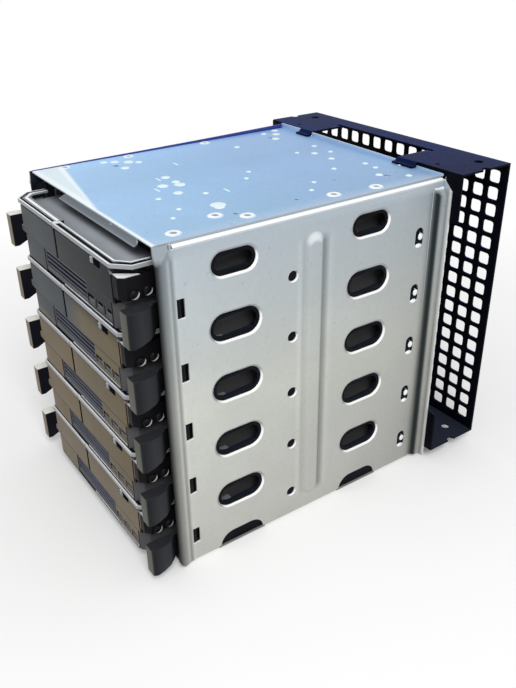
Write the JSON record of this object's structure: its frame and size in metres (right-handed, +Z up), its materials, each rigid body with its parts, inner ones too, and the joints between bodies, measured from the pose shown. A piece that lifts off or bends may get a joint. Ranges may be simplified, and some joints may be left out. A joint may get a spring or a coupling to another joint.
{
  "type": "hot swap drive cage",
  "caption": "Sheet-steel cage with pull-out plastic drive trays on guide rails, each held by two squeeze latches, and a folded mesh bracket behind it.",
  "frame": {"origin": "middle of the footprint, on the level of the cage's underside", "axes": "+X to the right seen from the tray fronts, +Y from the tray fronts to the mesh bracket, +Z up"},
  "size_m": [0.1424, 0.1934, 0.1551],
  "materials": {
    "cage_zinc": "zinc-plated sheet steel, satin",
    "mesh_black": "black powder coat, satin",
    "rail_plastic": "moulded, dark grey",
    "tray_plastic": "moulded, dark grey, fine grain",
    "latch_plastic": "moulded, near black"
  },
  "bodies": {
    "cage": {"left_side_panel": "cage_zinc", "right_side_panel": "cage_zinc", "top_panel": "cage_zinc", "bottom_panel": "cage_zinc", "mesh_bracket": "mesh_black", "rail_left_1": "rail_plastic", "rail_right_1": "rail_plastic", "rail_left_2": "rail_plastic", "rail_right_2": "rail_plastic", "rail_left_3": "rail_plastic", "rail_right_3": "rail_plastic", "rail_left_4": "rail_plastic", "rail_right_4": "rail_plastic", "rail_left_5": "rail_plastic", "rail_right_5": "rail_plastic"},
    "tray_1": {"tray_1_sled": "tray_plastic", "tray_1_cover_left": "tray_plastic", "tray_1_cover_right": "tray_plastic"},
    "tray_1_latch_left_arm": {"tray_1_latch_left": "latch_plastic"},
    "tray_1_latch_right_arm": {"tray_1_latch_right": "latch_plastic"},
    "tray_2": {"tray_2_sled": "tray_plastic", "tray_2_cover_left": "tray_plastic", "tray_2_cover_right": "tray_plastic"},
    "tray_2_latch_left_arm": {"tray_2_latch_left": "latch_plastic"},
    "tray_2_latch_right_arm": {"tray_2_latch_right": "latch_plastic"},
    "tray_3": {"tray_3_sled": "tray_plastic", "tray_3_cover_left": "tray_plastic", "tray_3_cover_right": "tray_plastic"},
    "tray_3_latch_left_arm": {"tray_3_latch_left": "latch_plastic"},
    "tray_3_latch_right_arm": {"tray_3_latch_right": "latch_plastic"},
    "tray_4": {"tray_4_sled": "tray_plastic", "tray_4_cover_left": "tray_plastic", "tray_4_cover_right": "tray_plastic"},
    "tray_4_latch_left_arm": {"tray_4_latch_left": "latch_plastic"},
    "tray_4_latch_right_arm": {"tray_4_latch_right": "latch_plastic"},
    "tray_5": {"tray_5_sled": "tray_plastic", "tray_5_cover_left": "tray_plastic", "tray_5_cover_right": "tray_plastic"},
    "tray_5_latch_left_arm": {"tray_5_latch_left": "latch_plastic"},
    "tray_5_latch_right_arm": {"tray_5_latch_right": "latch_plastic"}
  },
  "joints": [
    {"name": "tray_1_slide", "type": "slide", "parent": "cage", "child": "tray_1", "axis": [0, -1, 0], "range_m": [0, 0.105]},
    {"name": "tray_1_latch_left_squeeze", "type": "hinge", "parent": "tray_1", "child": "tray_1_latch_left_arm", "pos_m": [-0.0583, -0.0544, 0.0145], "axis": [0, 0, 1], "range_deg": [0, 3], "stiffness_Nm_per_rad": 0.05},
    {"name": "tray_1_latch_right_squeeze", "type": "hinge", "parent": "tray_1", "child": "tray_1_latch_right_arm", "pos_m": [0.0583, -0.0544, 0.0145], "axis": [0, 0, -1], "range_deg": [0, 3], "stiffness_Nm_per_rad": 0.05},
    {"name": "tray_2_slide", "type": "slide", "parent": "cage", "child": "tray_2", "axis": [0, -1, 0], "range_m": [0, 0.105]},
    {"name": "tray_2_latch_left_squeeze", "type": "hinge", "parent": "tray_2", "child": "tray_2_latch_left_arm", "pos_m": [-0.0583, -0.0544, 0.0425], "axis": [0, 0, 1], "range_deg": [0, 3], "stiffness_Nm_per_rad": 0.05},
    {"name": "tray_2_latch_right_squeeze", "type": "hinge", "parent": "tray_2", "child": "tray_2_latch_right_arm", "pos_m": [0.0583, -0.0544, 0.0425], "axis": [0, 0, -1], "range_deg": [0, 3], "stiffness_Nm_per_rad": 0.05},
    {"name": "tray_3_slide", "type": "slide", "parent": "cage", "child": "tray_3", "axis": [0, -1, 0], "range_m": [0, 0.105]},
    {"name": "tray_3_latch_left_squeeze", "type": "hinge", "parent": "tray_3", "child": "tray_3_latch_left_arm", "pos_m": [-0.0583, -0.0544, 0.0705], "axis": [0, 0, 1], "range_deg": [0, 3], "stiffness_Nm_per_rad": 0.05},
    {"name": "tray_3_latch_right_squeeze", "type": "hinge", "parent": "tray_3", "child": "tray_3_latch_right_arm", "pos_m": [0.0583, -0.0544, 0.0705], "axis": [0, 0, -1], "range_deg": [0, 3], "stiffness_Nm_per_rad": 0.05},
    {"name": "tray_4_slide", "type": "slide", "parent": "cage", "child": "tray_4", "axis": [0, -1, 0], "range_m": [0, 0.105]},
    {"name": "tray_4_latch_left_squeeze", "type": "hinge", "parent": "tray_4", "child": "tray_4_latch_left_arm", "pos_m": [-0.0583, -0.0544, 0.0985], "axis": [0, 0, 1], "range_deg": [0, 3], "stiffness_Nm_per_rad": 0.05},
    {"name": "tray_4_latch_right_squeeze", "type": "hinge", "parent": "tray_4", "child": "tray_4_latch_right_arm", "pos_m": [0.0583, -0.0544, 0.0985], "axis": [0, 0, -1], "range_deg": [0, 3], "stiffness_Nm_per_rad": 0.05},
    {"name": "tray_5_slide", "type": "slide", "parent": "cage", "child": "tray_5", "axis": [0, -1, 0], "range_m": [0, 0.105]},
    {"name": "tray_5_latch_left_squeeze", "type": "hinge", "parent": "tray_5", "child": "tray_5_latch_left_arm", "pos_m": [-0.0583, -0.0544, 0.1265], "axis": [0, 0, 1], "range_deg": [0, 3], "stiffness_Nm_per_rad": 0.05},
    {"name": "tray_5_latch_right_squeeze", "type": "hinge", "parent": "tray_5", "child": "tray_5_latch_right_arm", "pos_m": [0.0583, -0.0544, 0.1265], "axis": [0, 0, -1], "range_deg": [0, 3], "stiffness_Nm_per_rad": 0.05}
  ]
}
